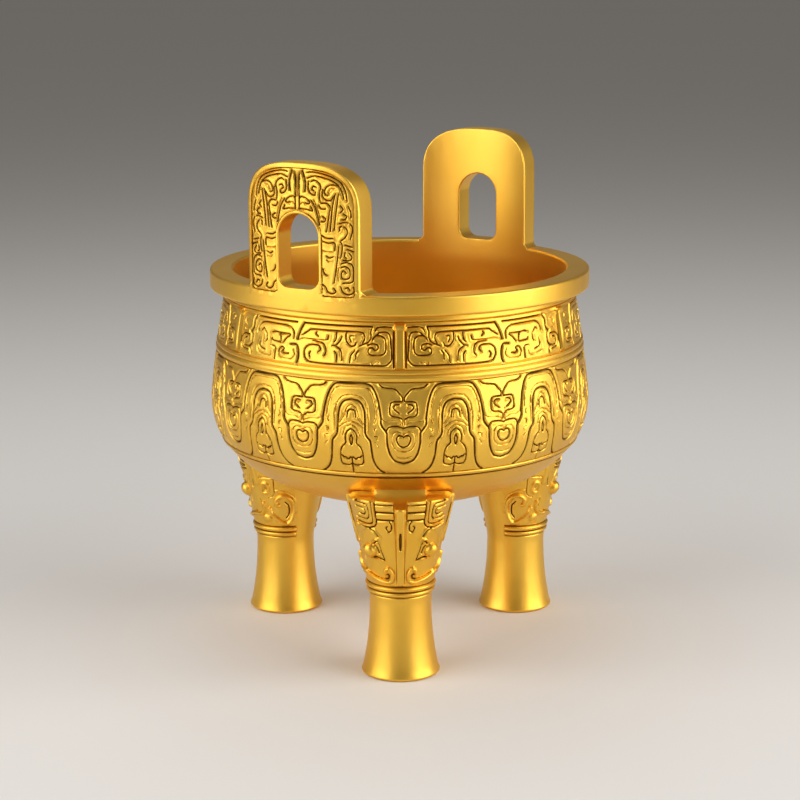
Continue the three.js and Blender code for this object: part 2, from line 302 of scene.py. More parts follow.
def within(distance, half, side):
    """1 in the middle and 0 beyond half, with a smooth side just inside it."""
    return 1 - ramp(distance, half - side, half)


def dome(share):
    """Height of a round top, from 1 in the middle to 0 where share reaches 1."""
    return np.sqrt(np.clip(1 - share**2, 0, 1))


def engrave(strokes, across, height, scale):
    """Depth of the grooves, as a share of the full depth, and height of the lips beside them."""
    depth = np.zeros(np.broadcast(across, height).shape)
    lip = np.zeros_like(depth)
    for width, line in strokes:
        distance = distance_to(line, across, height, scale)
        strength = min(1.0, width / GROOVE)
        depth = np.maximum(depth, strength * (1 - ramp(distance, 0, GROOVE_REACH * width)))
        away_from_lip = (distance / width - LIP_PLACE) / LIP_SPREAD
        lip = np.maximum(lip, strength * np.exp(-(away_from_lip**2)))
    return depth, LIP_HEIGHT * lip * (1 - np.minimum(1, 2 * depth))


def raised(strokes, across, height, scale):
    """Height of round bars laid along lines. Each has its half width and how proud it stands."""
    proud = np.zeros(np.broadcast(across, height).shape)
    for half, rise, line in strokes:
        proud = np.maximum(proud, rise * dome(distance_to(line, across, height, scale) / half))
    return proud


def folded(angles, first, period):
    """Distances from the nearest mirror line, at first and every period, and each angle's index."""
    distance = np.abs((angles - first + period / 2) % period - period / 2)
    return np.unique(np.round(distance, 4), return_inverse=True)


# Meshes

def grid_mesh(name, vertices, rows, columns, recess, caps):
    """A closed mesh from rows of vertices that each go round. caps are its two end points, if any."""
    index = np.arange(rows * columns).reshape(rows, columns)
    right = np.roll(index, -1, axis=1)
    if caps is None:
        above = np.roll(index, -1, axis=0)
        above_right = np.roll(above, -1, axis=1)
        quads = np.stack([index, right, above_right, above], axis=-1).reshape(-1, 4)
        triangles = np.empty((0, 3), int)
    else:
        quads = np.stack([index[:-1], right[:-1], right[1:], index[1:]], axis=-1).reshape(-1, 4)
        bottom = rows * columns
        under = np.stack([right[0], index[0], np.full(columns, bottom)], axis=-1)
        over = np.stack([index[-1], right[-1], np.full(columns, bottom + 1)], axis=-1)
        triangles = np.vstack([under, over])
        vertices = np.vstack([vertices, caps])
        recess = np.append(recess, [0, 0])
    mesh = bpy.data.meshes.new(name)
    mesh.from_pydata(vertices * METRES, [], [*quads.tolist(), *triangles.tolist()])
    attribute = mesh.attributes.new("recess", "FLOAT", "POINT")
    attribute.data.foreach_set("value", np.asarray(recess, np.float32))
    obj = bpy.data.objects.new(name, mesh)
    bpy.context.scene.collection.objects.link(obj)
    return obj


def turned_mesh(name, radius, height, columns, recess, low, high):
    """A body turned about the axis, with a radius for every row and column."""
    angle = np.radians(np.arange(columns) * 360 / columns)
    shape = (len(height), columns)
    radius = np.broadcast_to(radius, shape)
    height = np.broadcast_to(np.reshape(height, (len(height), -1)), shape)
    vertices = np.stack([radius * np.cos(angle), radius * np.sin(angle), height], axis=-1)
    caps = np.array([[0, 0, low], [0, 0, high]])
    return grid_mesh(name, vertices.reshape(-1, 3), *shape, np.ravel(recess), caps)


def combine(first, second, operation):
    """Joins or cuts two closed bodies and keeps the result in the first."""
    modifier = first.modifiers.new(operation, "BOOLEAN")
    modifier.operation = operation
    modifier.object = second
    modifier.solver = "MANIFOLD"
    apply_modifiers(first)
    bpy.data.objects.remove(second)


def apply_modifiers(obj):
    """Keeps what the modifiers make of the mesh."""
    view = bpy.context.evaluated_depsgraph_get()
    mesh = bpy.data.meshes.new_from_object(obj.evaluated_get(view))
    obj.modifiers.clear()
    obj.data = mesh


# Bowl

def shell_radius(height, belly, neck, bottom):
    """Radius of the bowl's outer or inner surface."""
    below = np.clip((BELLY_HEIGHT - height) / (BELLY_HEIGHT - bottom), 0, 1)
    lower = belly * (1 - below**LOWER_FULLNESS) ** (1 / LOWER_FULLNESS)
    above = np.clip((height - BELLY_HEIGHT) / (RIM_BOTTOM - BELLY_HEIGHT), 0, 1)
    upper = belly - (belly - neck) * above**UPPER_EASE
    return np.where(height < BELLY_HEIGHT, lower, upper)


def bowl_radius(height):
    """Radius of the bowl's outside without its relief."""
    return shell_radius(height, BELLY_RADIUS, NECK_RADIUS, BOWL_BOTTOM)


def curved_heights(bottom, top, count):
    """Heights that follow the lower curve evenly, from near its lowest point up to top."""
    share = (BELLY_HEIGHT - top) / (BELLY_HEIGHT - bottom)
    end = math.acos(share ** (LOWER_FULLNESS / 2))
    angle = np.linspace(end / count, end, count)
    return BELLY_HEIGHT - (BELLY_HEIGHT - bottom) * np.cos(angle) ** (2 / LOWER_FULLNESS)


# Wave band. A line's places are degrees from the middle of a crest, and heights.

def wave_strokes():
    """Grooves of half a wave: its outlines, the figure under it and the one between two waves."""
    trough = 180 / WAVE_PERIODS
    outer = [(0, 83.9), (4.6, 83.8), (6.4, 82.4), (7.5, 80), (8.1, 77.6), (8.5, 75), (8.6, 73.2),
             (9.4, 72), (10.2, 70.9), (10.3, 68.7), (10.6, 66.6), (11.3, 64.6), (12.6, 63), (15, 62.3)]
    inner = [(0, 79.7), (2.2, 79.2), (3.4, 77.7), (3.9, 75.5), (4, 73), (4.1, 70.8), (4.7, 69.6),
             (5.5, 68.6), (5.8, 66.5), (6.1, 64), (6.8, 61.8), (8, 60.2), (9.4, 59.4)]
    lip = [(0, 81), (2.8, 80.4), (4.4, 78.4), (4.9, 75.5), (4.9, 71)]
    edge = [(0, 82.9), (4.2, 82.8), (5.6, 81.8), (6.5, 79.9), (7.1, 77.5), (7.4, 75)]
    strokes = [(BROAD, curve(outer)), (BROAD, curve(inner)), (THIN, curve(lip)), (THIN, curve(edge))]
    strokes += [
        (GROOVE, curve([(0, 77.1), (0.8, 76.8), (1.2, 75.8), (1.3, 74.9)])),
        (THIN, curve([(0, 78.4), (1.4, 77.4), (2.2, 75.2), (3.5, 73.2)])),
        (THIN, curve([(0, 73.9), (1.8, 73.4), (3.4, 72.2)])),
        (GROOVE, curve([(0, 71.9), (1.1, 71.1), (1.65, 69.7), (1.5, 68)])),
        (THIN, curve([(0, 73), (1.7, 72), (2.5, 70)])),
        (GROOVE, curve([(0, 70.3), (0.4, 69.2), (0.3, 68), (0, 67.4)])),
        (GROOVE, curve([(1.7, 67.8), (2.6, 66.9), (3.2, 65.6), (3.4, 63.7), (3.2, 62.2), (2.4, 61.7),
                        (0.9, 61.6), (0.1, 62.1)])),
        (GROOVE, curve([(0, 63.4), (0.4, 64), (1.1, 63.3), (1.7, 63.8), (2.4, 63.9), (2.9, 64.4)])),
        (GROOVE, curve([(0, 63.4), (0, 61.4), (0, 59.5)])),
    ]
    curls = [
        [(6.7, 74.8), (7, 74.1), (6.7, 73.4)],
        [(7.4, 72.2), (6.7, 71.9), (7, 71.2)],
        [(6.7, 70), (7.6, 69.9), (7.7, 69.2)],
        [(7, 68.2), (7.6, 67.7), (7.9, 67)],
    ]
    strokes += [(THIN, curve(points)) for points in curls]
    inside = [
        (GROOVE, [(7, 83.8), (5.8, 83), (2.6, 82.6), (1.4, 81.7), (0.35, 80.4), (0.3, 79.4)]),
        (GROOVE, [(0.6, 79.3), (3.1, 79.2), (3.8, 78.4), (3.9, 76.2), (3.2, 75.4), (1.5, 75.2),
                  (0.5, 74.7)]),
        (GROOVE, [(1.2, 78.5), (2.3, 78.5), (2.9, 77.6), (2.2, 76.9), (1.2, 76.2)]),
        (THIN, [(1, 77.8), (1.7, 77.7)]),
        (THIN, [(0.2, 74.6), (0.2, 73)]),
        (THIN, [(6.3, 75), (5.1, 74), (2.2, 73.8), (0.8, 73.3)]),
        (GROOVE, [(4.8, 71.4), (4.4, 72.3), (3.3, 72.7), (1.6, 72.7), (0, 72.2)]),
        (THIN, [(0, 70.6), (1.6, 71.3), (3, 70.7), (3.4, 69), (2.9, 67.2), (1.7, 66.1), (0, 65.8)]),
        (GROOVE, [(0, 69.8), (1.1, 70.3), (1.9, 69.7), (1.9, 68.6), (1.2, 67.5), (0, 67)]),
        (THIN, [(2.4, 64.5), (1.3, 64.1), (0, 63.9)]),
    ]
    for width, points in inside:
        strokes.append((width, curve([(trough - across, height) for across, height in points])))
    return strokes


# Dragon band. A line's places are degrees from the flange where two tails meet, and heights.

def dragon_strokes():
    """Grooves of one dragon, tail first."""
    tail = [
        (GROOVE, [(8.2, 98.8), (8.8, 97.6), (8.7, 96.2), (9.5, 94.8), (12.1, 93.8)]),
        (GROOVE, [(31, 95.6), (28.9, 96.8), (27.4, 97.4), (20.6, 97.4), (12.3, 97.4), (10.8, 96.7),
                  (10.6, 95.6), (11.2, 94.5)]),
        (GROOVE, [(16.3, 97.2), (16.4, 95.6), (15.9, 94.5), (14.7, 93.6), (13.5, 93.8), (13.2, 94.5)]),
        (GROOVE, [(13.9, 96.3), (15, 96.3), (15.2, 95.6), (14.7, 94.7)]),
        (GROOVE, [(19.4, 97.2), (19.5, 95.4), (20, 94.5)]),
        (GROOVE, [(17.7, 96), (18, 95.2), (18.8, 94.2), (19.6, 93.6), (20.6, 93.5)]),
        (BROAD, [(22, 96), (22.2, 95.1)]),
        (GROOVE, [(25.9, 96.8), (26.2, 96.3), (25.3, 95.6)]),
        (THIN, [(32.4, 94), (30.7, 94.7), (28.9, 94.9), (25.7, 94.8), (22.2, 94.9)]),
        (GROOVE, [(26.9, 94.4), (23.8, 94), (22.8, 92.9), (22.6, 91.6), (23.2, 90.6)]),
        (GROOVE, [(29.8, 91), (29.6, 92.2), (28.5, 93.1), (26.5, 93.4), (24.9, 93.2), (24.4, 92.3),
                  (25.1, 91.5)]),
        (GROOVE, [(27.7, 91.5), (28.1, 90.8), (27.7, 89.9)]),
        (GROOVE, [(29.8, 91), (29.3, 89.7), (27.7, 88.8), (22, 88.6), (12, 88.7), (4.8, 88.7),
                  (3.3, 89.3), (2.4, 90.6), (2.6, 93.3), (2.9, 96.4), (4, 97.5), (6, 97.4),
                  (7.3, 96.5)]),
        (GROOVE, [(19.8, 92), (19.2, 91.1), (19.2, 89.3)]),
        (GROOVE, [(19.2, 93.3), (17.8, 92.2), (17.4, 89.7)]),
        (GROOVE, [(12.3, 92.6), (13.1, 91.6), (13.2, 90.2)]),
        (GROOVE, [(13.5, 92.5), (14.7, 91.1), (15, 89.2)]),
        (GROOVE, [(8.3, 95.2), (7.7, 96.2), (6.6, 96.6), (5.2, 96.3), (4.3, 95.3), (4.2, 92.9),
                  (5.1, 91.6), (8, 91.4), (9.4, 91.9), (9.3, 93), (8.4, 93.4), (7.4, 92.7),
                  (6.5, 93.2), (6.8, 94.2), (8.4, 94.4), (9.6, 94)]),
        (THIN, [(8.6, 89.6), (8.2, 88.9), (7, 89.7), (6, 89.5)]),
        (GROOVE, [(7.6, 97.5), (6.8, 98.6), (4.8, 98.9), (2.3, 98.7)]),
        (GROOVE, [(1.85, 97.6), (1.85, 92.9), (1.85, 88.2)]),
    ]
    head = [
        (BROAD, [(30.4, 98.9), (31.4, 97.4), (32, 96), (32.5, 94.3)]),
        (GROOVE, [(49.1, 94.6), (48.3, 96.6), (46.4, 97.6), (42, 97.7), (36.6, 97.6), (34.5, 96.8),
                  (33.8, 95.6), (34, 94.3)]),
        (GROOVE, [(47.2, 95.3), (46.5, 95.9), (45.6, 95.3), (44.8, 94.5), (44.6, 93.3), (45.3, 92.4)]),
        (GROOVE, [(42.6, 95.2), (41.4, 95.6), (39.1, 95.4), (35.3, 95.4), (36.4, 94.5), (37.8, 93.1)]),
        (GROOVE, [(39.6, 95.3), (38.8, 94.6), (38.7, 93.4)]),
        (GROOVE, [(42.4, 93.7), (41.8, 93.1), (38.8, 93)]),
        (GROOVE, [(47.3, 93), (47.8, 91.6), (47.2, 90.8), (45, 90.3)]),
        (GROOVE, [(42.3, 91.7), (41.1, 91.6), (40.6, 90.8), (40.7, 88.3)]),
        (GROOVE, [(39.3, 90.4), (39, 91.3), (38.2, 91.8), (37.2, 91.5), (37.8, 90.7), (37, 90.2),
                  (35.4, 90.3)]),
        (THIN, [(39.3, 90.2), (38.2, 89.1), (34.8, 88.9), (33.2, 90.2), (33.8, 91.6)]),
        (BROAD, [(35, 92.8), (32.9, 92.9), (32, 91.7), (31.8, 89.6), (32.3, 88.1)]),
        (THIN, [(48.7, 91.5), (48.2, 89.6), (45, 89), (42.8, 89.1), (42.2, 90.2)]),
        (BROAD, [(50.4, 99), (51.4, 97.5), (51.4, 95.8), (52.2, 94.7), (53, 94.3)]),
        (BROAD, [(53, 94.3), (51.9, 93.7), (51.6, 91.7), (52.5, 90.5), (53.6, 90.2)]),
        (GROOVE, [(53.6, 90.2), (52.2, 89.8), (51.6, 88.3)]),
        (GROOVE, [(53.2, 93.4), (56.2, 93.3), (57.6, 92.3), (57.5, 90.8), (56.3, 89.5), (53.3, 89.2)]),
        (GROOVE, [(54.4, 92.5), (55.8, 92.2), (56.3, 91.1), (55.6, 90.2), (53.6, 90.2)]),
        (GROOVE, [(58.15, 97.6), (58.15, 93), (58.15, 88.2)]),
        (THIN, [(54, 97.3), (55.6, 97.6), (56.4, 96.7), (55.4, 96)]),
        (THIN, [(54.4, 95), (56, 94.8)]),
    ]
    edge = [
        (GROOVE, [(8.2, DRAGON_TOP), (30.4, DRAGON_TOP)]),
        (GROOVE, [(33, DRAGON_TOP), (49.4, DRAGON_TOP)]),
        (THIN, [(50.6, DRAGON_TOP + 0.1), (58.6, DRAGON_TOP)]),
    ]
    strokes = [(width, curve(points)) for width, points in tail + head]
    strokes += [(width, np.array(points)) for width, points in edge]
    return strokes


def flange_height(away, height):
    """How proud the flanges stand, from the distance to the nearest one in millimetres."""
    middle = (FLANGE_TOP + FLANGE_BOTTOM) / 2
    half = (FLANGE_TOP - FLANGE_BOTTOM) / 2
    blade = FLANGE_PROUD * within(np.abs(height - middle), half, FLANGE_EDGE)
    blade = blade * within(away, FLANGE_WIDTH / 2, FLANGE_EDGE)
    half = FLANGE_CAP_HEIGHT / 2
    cap = FLANGE_CAP_PROUD * within(np.abs(height - FLANGE_TOP + half), half, FLANGE_CAP_EDGE)
    cap = cap * within(away, FLANGE_CAP_WIDTH / 2, FLANGE_EDGE)
    return np.maximum(blade, cap)


def ring_strokes():
    """Grooves that run all round the bowl."""
    rings = [(THIN, height) for height in (*COLLAR_GROOVES, DRAGON_BOTTOM, WAVE_TOP, WAVE_BOTTOM)]
    rings.append((GROOVE, BEAD_BOTTOM))
    return [(width, np.array([(-1, height), (1, height)])) for width, height in rings]


def bowl_relief(heights):
    """How proud the bowl's surface stands and how deep in a groove it lies, by row and column."""
    angles = np.arange(BOWL_COLUMNS) * 360 / BOWL_COLUMNS
    heights = heights[:, None]
    scale = math.radians(1) * bowl_radius(heights)
    depth = np.zeros((len(heights), BOWL_COLUMNS))
    lip = np.zeros_like(depth)
    crest = FRONT_FLANGE + 180 / WAVE_PERIODS + WAVE_TURN
    wave = folded(angles, crest, 360 / WAVE_PERIODS)
    dragon = folded(angles, FRONT_FLANGE, 720 / FLANGE_COUNT)
    ring = folded(0 * angles, 0, 360)
    bands = [
        (wave_strokes(), wave, WAVE_BOTTOM - BAND_MARGIN, WAVE_TOP + BAND_MARGIN),
        (dragon_strokes(), dragon, DRAGON_BOTTOM - BAND_MARGIN, DRAGON_TOP + BAND_MARGIN),
        (ring_strokes(), ring, BEAD_BOTTOM - BAND_MARGIN, RIM_BOTTOM),
    ]
    for strokes, (positions, index), low, high in bands:
        rows = np.flatnonzero((heights[:, 0] > low) & (heights[:, 0] < high))
        band_depth, band_lip = engrave(strokes, positions[None, :], heights[rows], scale[rows])
        depth[rows] = np.maximum(depth[rows], band_depth[:, index])
        lip[rows] = np.maximum(lip[rows], band_lip[:, index])
    away, index = folded(angles, FRONT_FLANGE, 360 / FLANGE_COUNT)
    flange = flange_height(away[None, :] * scale, heights)[:, index]
    beside_flange = 1 - ramp(flange, 0, FLANGE_EDGE)
    depth *= beside_flange
    lip *= beside_flange
    middle = (BEAD_BOTTOM + WAVE_BOTTOM) / 2
    half = (WAVE_BOTTOM - BEAD_BOTTOM) / 2
    bead = BEAD_PROUD * (1 - ramp(np.abs(heights - middle), BEAD_FLAT * half, half))
    half = STRIP_ROLL_HEIGHT / 2
    rolls = sum(STRIP_PROUD * dome((heights - middle) / half) for middle in STRIP_ROLLS)
    return flange + bead + rolls + lip - GROOVE_DEPTH * depth, depth


def outer_bowl():
    """The bowl's outside with its rim, filled, and hollowed behind each handle's face."""
    foot = BEAD_BOTTOM - BAND_MARGIN
    low = curved_heights(BOWL_BOTTOM, foot, BOWL_FOOT_ROWS)
    bands = np.arange(foot + BAND_STEP, RIM_BOTTOM - BAND_STEP / 4, BAND_STEP)
    heights = np.concatenate([low, bands, [RIM_BOTTOM]])
    proud, depth = bowl_relief(heights)
    radius = bowl_radius(heights)[:, None] + proud
    turn = np.radians(np.linspace(0, 90, ROUND_ROWS))
    side = RIM_RADIUS - RIM_ROUND
    upright = np.linspace(RIM_BOTTOM + RIM_ROUND, RIM_TOP - RIM_ROUND, RIM_ROWS)[1:-1]
    rim_radius = np.concatenate([
        side + RIM_ROUND * np.sin(turn),
        0 * upright + RIM_RADIUS,
        side + RIM_ROUND * np.cos(turn),
        [RIM_INSIDE],
    ])[:, None]
    rim_height = np.concatenate([
        RIM_BOTTOM + RIM_ROUND * (1 - np.cos(turn)),
        upright,
        RIM_TOP - RIM_ROUND * (1 - np.sin(turn)),
        [RIM_TOP],
    ])
    across = np.abs(RIM_RADIUS * np.sin(2 * math.pi * np.arange(BOWL_COLUMNS) / BOWL_COLUMNS))
    pocket = POCKET_DEPTH * within(across, HANDLE_WIDTH / 2 - POCKET_INSET, POCKET_EDGE)
    pocket = pocket * ramp(rim_height, POCKET_FOOT, POCKET_FOOT + POCKET_SLOPE)[:, None]
    radius = np.vstack([radius, rim_radius - pocket])
    recess = np.vstack([depth, np.zeros(pocket.shape)])
    heights = np.concatenate([heights, rim_height])
    return turned_mesh("ding_cast", radius, heights, BOWL_COLUMNS, recess, BOWL_BOTTOM, RIM_TOP)


def cavity():
    """What is cut out of the bowl, with a round edge to the rim."""
    floor_height = BOWL_BOTTOM + FLOOR_THICKNESS
    low = curved_heights(floor_height, BELLY_HEIGHT, CAVITY_FOOT_ROWS)
    upper = np.linspace(BELLY_HEIGHT, RIM_TOP - RIM_ROUND, CAVITY_WALL_ROWS)[1:]
    wall = np.concatenate([low, upper])
    turn = np.radians(np.linspace(OPENING_ROUND_START, 90, CAVITY_ROUND_ROWS))
    top = RIM_TOP + CAVITY_MARGIN
    heights = np.concatenate([wall, RIM_TOP - RIM_ROUND * (1 - np.sin(turn)), [top]])
    radius = np.concatenate([
        shell_radius(wall, BELLY_RADIUS - BELLY_WALL, OPENING_RADIUS, floor_height),
        OPENING_RADIUS + RIM_ROUND * (1 - np.cos(turn)),
        [OPENING_RADIUS + RIM_ROUND],
    ])
    recess = np.zeros((len(heights), CAVITY_COLUMNS))
    return turned_mesh("cavity", radius[:, None], heights, CAVITY_COLUMNS, recess, floor_height, top)


# Legs. A line's places are degrees from the leg's outward line, and heights.

def leg_radius(height):
    """Radius of a leg without its relief: a flared foot, a waist and a mask that widens upwards."""
    below = np.clip((WAIST_HEIGHT - height) / WAIST_HEIGHT, 0, 1)
    lower = WAIST_RADIUS + (FOOT_RADIUS - WAIST_RADIUS) * below**FOOT_FLARE
    above = np.clip((height - WAIST_HEIGHT) / (MASK_TOP - WAIST_HEIGHT), 0, 1)
    upper = WAIST_RADIUS + (MASK_RADIUS - WAIST_RADIUS) * above**MASK_FLARE
    return np.where(height < WAIST_HEIGHT, lower, upper)


def mask_strokes():
    """Grooves of half a mask and of the leg's side behind it."""
    lines = [
        (GROOVE, [(0.3, 43), (0.8, 41), (0.3, 38)]),
        (THIN, [(7, 52), (6.6, 44), (6.2, 36), (6.2, 28)]),
        (BROAD, [(21, 30.6), (18.3, 30.2), (19.5, 29.3), (23, 29.1)]),
        (THIN, [(23, 29.1), (32, 29.2), (46, 29.8), (70, 31.2)]),
        (BROAD, [(8, 46.75), (18, 46.7), (27, 46.6)]),
        (BROAD, [(8, 49.05), (18, 49), (27, 48.9)]),
        (GROOVE, [(8, 51.3), (18, 51.2), (27, 51.1)]),
        (GROOVE, [(12.9, 46.3), (10.6, 45), (11.5, 43.7), (15, 43.2), (17.4, 44.4), (15.6, 44.9)]),
        (BROAD, [(40.3, 43.7), (34.3, 42.9), (29.9, 41.6)]),
        (GROOVE, [(22.4, 34.9), (26.5, 37.3), (28.6, 39.3), (32.8, 40.1), (38, 39.2)]),
        (GROOVE, [(22.4, 34.7), (34.3, 35.4), (42, 35.2)]),
        (GROOVE, [(30, 36.6), (33.5, 38.4), (36, 38.6)]),
        (GROOVE, [(28.6, 52), (28.6, 47.3), (30, 45.2), (37.3, 44.1), (50, 43.9), (62, 44.3)]),
        (GROOVE, [(33.5, 52), (33.5, 47), (35.5, 45.5), (44, 45), (60, 45.2)]),
        (GROOVE, [(62, 50.9), (42, 50.7), (39, 49.6), (38.5, 47.6), (43, 46.4), (60, 46.4)]),
        (GROOVE, [(58, 49.6), (46, 49.4), (43, 48.6), (46, 47.6), (54, 47.7)]),
        (THIN, [(84, 42.2), (96, 42.6), (106, 42.3), (107, 40), (106, 37), (97, 36)]),
        (THIN, [(92, 39.4), (94.5, 38.8)]),
        (GROOVE, [(123, 34.8), (129, 33.5), (130, 31), (125, 29.6)]),
        (THIN, [(82, 35.4), (83, 33.6), (85, 32.6)]),
        (THIN, [(66, 44), (64, 40.5), (60, 34)]),
        (GROOVE, [(76, 49), (74, 43), (70, 39)]),
    ]
    return [(width, curve(points)) for width, points in lines]


def mask_bars():
    """Raised lines of the mask, each with its half width and how proud it stands."""
    lines = [
        (0.55, 0.85, [(24, 30.7), (22.5, 31.8), (18, 32.2), (13.3, 31.4), (11.6, 29.9), (14.5, 28.5),
                      (22, 28.1), (31, 28.4), (46, 29.1), (60, 30.2), (68, 30.3), (77, 30.4),
                      (85, 31.2), (89, 32.7), (88, 34.3)]),
        (0.35, 0.3, [(31, 52), (31, 47.5), (32.5, 45.4), (38, 44.6), (50, 44.4), (62, 44.8)]),
        (0.35, 0.3, [(24, 41), (33, 43.6), (44, 43.3), (54, 41.5), (60, 39)]),
        (0.35, 0.35, [(21.5, 34.8), (26, 37.2), (28, 39.6), (33, 40.6), (39, 39.8), (44, 38.6)]),
        (0.35, 0.3, [(21.5, 34.6), (33, 34.9), (46, 35)]),
        (0.6, 0.9, [(98, 32.6), (101, 31), (110, 29.3), (121, 27.9), (129, 27.9), (135, 29.6),
                    (138, 32), (135, 34.6), (127, 36.4), (117, 36.6), (110, 35.6), (109, 34.2),
                    (113, 33.6)]),
        (0.5, 0.5, [(86.5, 39), (88.5, 40.2), (93, 40.6), (97.5, 40.2), (99.5, 39), (97.5, 37.8),
                    (93, 37.4), (88.5, 37.8), (86.5, 39)]),
        (1.2, 0.6, [(89, 29.4), (93, 29.2)]),
        (0.35, 0.35, [(110, 38.5), (124, 38), (138, 35.5), (143, 31)]),
        (1.0, 0.6, [(80, 40.5), (78, 45), (80, 51)]),
    ]
    return [(half, rise, curve(points)) for half, rise, points in lines]


def leg_relief(heights, away):
    """Relief of a leg's side, at heights and at angles from its outward line."""
    scale = math.radians(1) * leg_radius(heights)
    depth, lip = engrave(mask_strokes(), away, heights, scale)
    facing = within(away, RING_HALF_ANGLE, RING_END)
    for line in RING_LINES:
        cut = RING_LINE_DEPTH * within(np.abs(heights - line), RING_LINE_HALF, RING_LINE_SIDE)
        depth = np.maximum(depth, cut * facing)
    rings = np.zeros_like(depth)
    for ring in RING_HEIGHTS:
        rings = np.maximum(rings, RING_PROUD * dome((heights - ring) / RING_HALF_HEIGHT) * facing)
    ridge = RIDGE_PROUD * within(away * scale, RIDGE_HALF_WIDTH, RIDGE_SIDE)
    ribs = RIB_PROUD * within(np.abs(away - RIB_ANGLE), RIB_HALF_ANGLE, RIB_END)
    ribs = ribs * ramp(heights, RIB_FOOT, RIB_FOOT + RELIEF_EASE)
    eye = dome(np.hypot((away - EYE_ANGLE) * scale, heights - EYE_HEIGHT) / EYE_RADIUS)
    depth = depth * (1 - np.minimum(1, 2 * eye))
    mask = raised(mask_bars(), away, heights, scale)
    for form in (ridge, ribs, EYE_PROUD * eye):
        mask = np.maximum(mask, form)
    above_rings = ramp(heights, RELIEF_FOOT, RELIEF_FOOT + RELIEF_EASE)
    proud = np.maximum(rings, above_rings * mask)
    return proud + lip * above_rings - GROOVE_DEPTH * depth, depth


def leg_top(radius, angle):
    """Height of the ledge on a leg: two ears, a dish between them and a hollow rise to the bowl."""
    outward = radius * np.cos(angle)
    across = np.abs(radius * np.sin(angle))
    between = within(across, DISH_HALF_WIDTH, DISH_SIDE)
    front = ramp(radius, MASK_RADIUS - FRONT_WALL, MASK_RADIUS - FRONT_WALL + FRONT_SLOPE)
    front_height = FRONT_LIFT - NOTCH_DEPTH * within(across, NOTCH_HALF_WIDTH, NOTCH_SIDE)
    dish = front_height * front - DISH_DEPTH * (1 - front)
    ear = EAR_LIFT * ramp(outward, EAR_START, EAR_END)
    ear -= SHOULDER_DROP * (1 - ramp(outward, SHOULDER_START, EAR_START))
    ear -= EAR_ROUND * ramp(radius, MASK_RADIUS - EAR_ROUND_WIDTH, MASK_RADIUS) ** 2
    gap = np.maximum(np.hypot(LEG_CIRCLE + outward, across) - LEDGE_ROOT_RADIUS, 0)
    dish += DISH_RISE * np.exp(-gap / DISH_RISE_LENGTH)
    ear += EAR_RISE * np.exp(-gap / EAR_RISE_LENGTH)
    return MASK_TOP + between * dish + (1 - between) * ear


def leg(leg_angle):
    """A leg with its mask. Its side's rows rise and fall with the ears towards the top."""
    turn = np.radians(np.linspace(0, 90, FOOT_ROUND_ROWS))
    foot_radius = FOOT_RADIUS - FOOT_ROUND + FOOT_ROUND * np.sin(turn)
    foot_height = FOOT_CLEARANCE + FOOT_ROUND * (1 - np.cos(turn))
    shaft = np.arange(FOOT_ROUND + SHAFT_STEP, SHAFT_TOP - SHAFT_STEP / 2, SHAFT_STEP)
    fine = np.arange(SHAFT_TOP, MASK_TOP - MASK_ROUND, BAND_STEP)
    side = np.concatenate([shaft, fine])[:, None]
    columns = np.arange(LEG_COLUMNS) * 360 / LEG_COLUMNS
    away, index = folded(columns, 0, 360)
    brim = leg_top(MASK_RADIUS, np.radians(away))
    side = side + ramp(side, EAR_BOTTOM, MASK_TOP - MASK_ROUND) * (brim - MASK_TOP)
    proud, depth = leg_relief(side, away[None, :])
    radius = (leg_radius(side) + proud)[:, index]
    depth = depth[:, index]
    side = side[:, index]
    brim = brim[index]
    plain = np.zeros(LEG_COLUMNS)
    turn = np.radians(np.linspace(0, 90, ROUND_ROWS))[1:, None]
    top_radius = radius[-1] - MASK_ROUND * (1 - np.cos(turn))
    top_height = side[-1] + (brim - side[-1]) * np.sin(turn)
    inwards = np.linspace(1, LEG_TOP_MIDDLE, LEG_TOP_ROWS)[1:, None]
    inner_radius = (radius[-1] - MASK_ROUND) * inwards
    inner_height = leg_top(inner_radius, np.radians(columns))
    obj = turned_mesh(
        "leg",
        np.vstack([foot_radius[:, None] + plain, radius, top_radius, inner_radius]),
        np.vstack([foot_height[:, None] + plain, side, top_height, inner_height]),
        LEG_COLUMNS,
        np.vstack([
            np.zeros((FOOT_ROUND_ROWS, LEG_COLUMNS)),
            depth,
            np.cos(turn) * depth[-1],
            0 * inner_radius,
        ]),
        0,
        MASK_TOP,
    )
    turn = math.radians(leg_angle)
    place = LEG_CIRCLE * METRES * Vector((math.cos(turn), math.sin(turn), 0))
    obj.data.transform(Matrix.Translation(place) @ Matrix.Rotation(turn, 4, "Z"))
    return obj


# Handles. A line's places are millimetres from the handle's middle, and heights.

